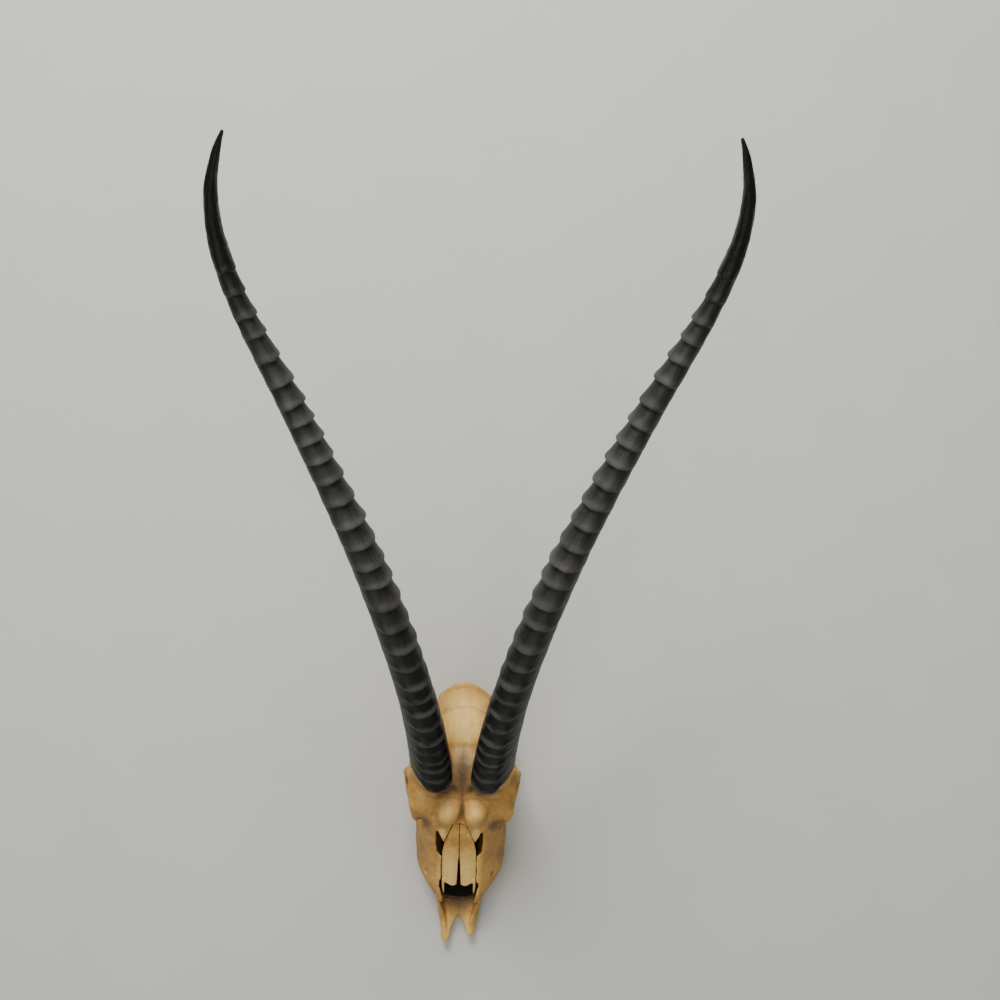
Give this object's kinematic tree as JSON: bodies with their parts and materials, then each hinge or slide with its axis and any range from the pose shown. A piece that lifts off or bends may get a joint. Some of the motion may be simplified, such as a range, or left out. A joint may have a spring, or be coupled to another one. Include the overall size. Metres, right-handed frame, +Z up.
{
  "type": "gazelle skull with horns",
  "caption": "Upper skull of a male antelope with long ringed lyre-shaped horns, laid palate side down on a surface.",
  "frame": {"origin": "middle of the part's box in plan, at the surface that the cheek teeth and the back of the skull rest on", "axes": "+Y from the muzzle towards the horn tips, +Z up from the surface, +X to the right seen from above with the horn tips away; the skull's midline is at x -0.00496"},
  "size_m": [0.3697, 0.6712, 0.4274],
  "materials": {
    "bone": "dry weathered bone, golden tan, browner in the hollows",
    "horn": "charcoal horn, dull on the rings and glossy at the tip",
    "teeth": "stained tooth enamel"
  },
  "bodies": {
    "root": {"skull": "bone", "horn_left": "horn", "horn_right": "horn", "nasal_bone_left": "bone", "nasal_bone_right": "bone", "premaxilla_left": "bone", "premaxilla_right": "bone", "tooth_P2_left": "teeth", "tooth_P3_left": "teeth", "tooth_P4_left": "teeth", "tooth_M1_left": "teeth", "tooth_M2_left": "teeth", "tooth_M3_left": "teeth", "tooth_P2_right": "teeth", "tooth_P3_right": "teeth", "tooth_P4_right": "teeth", "tooth_M1_right": "teeth", "tooth_M2_right": "teeth", "tooth_M3_right": "teeth"}
  },
  "joints": []
}
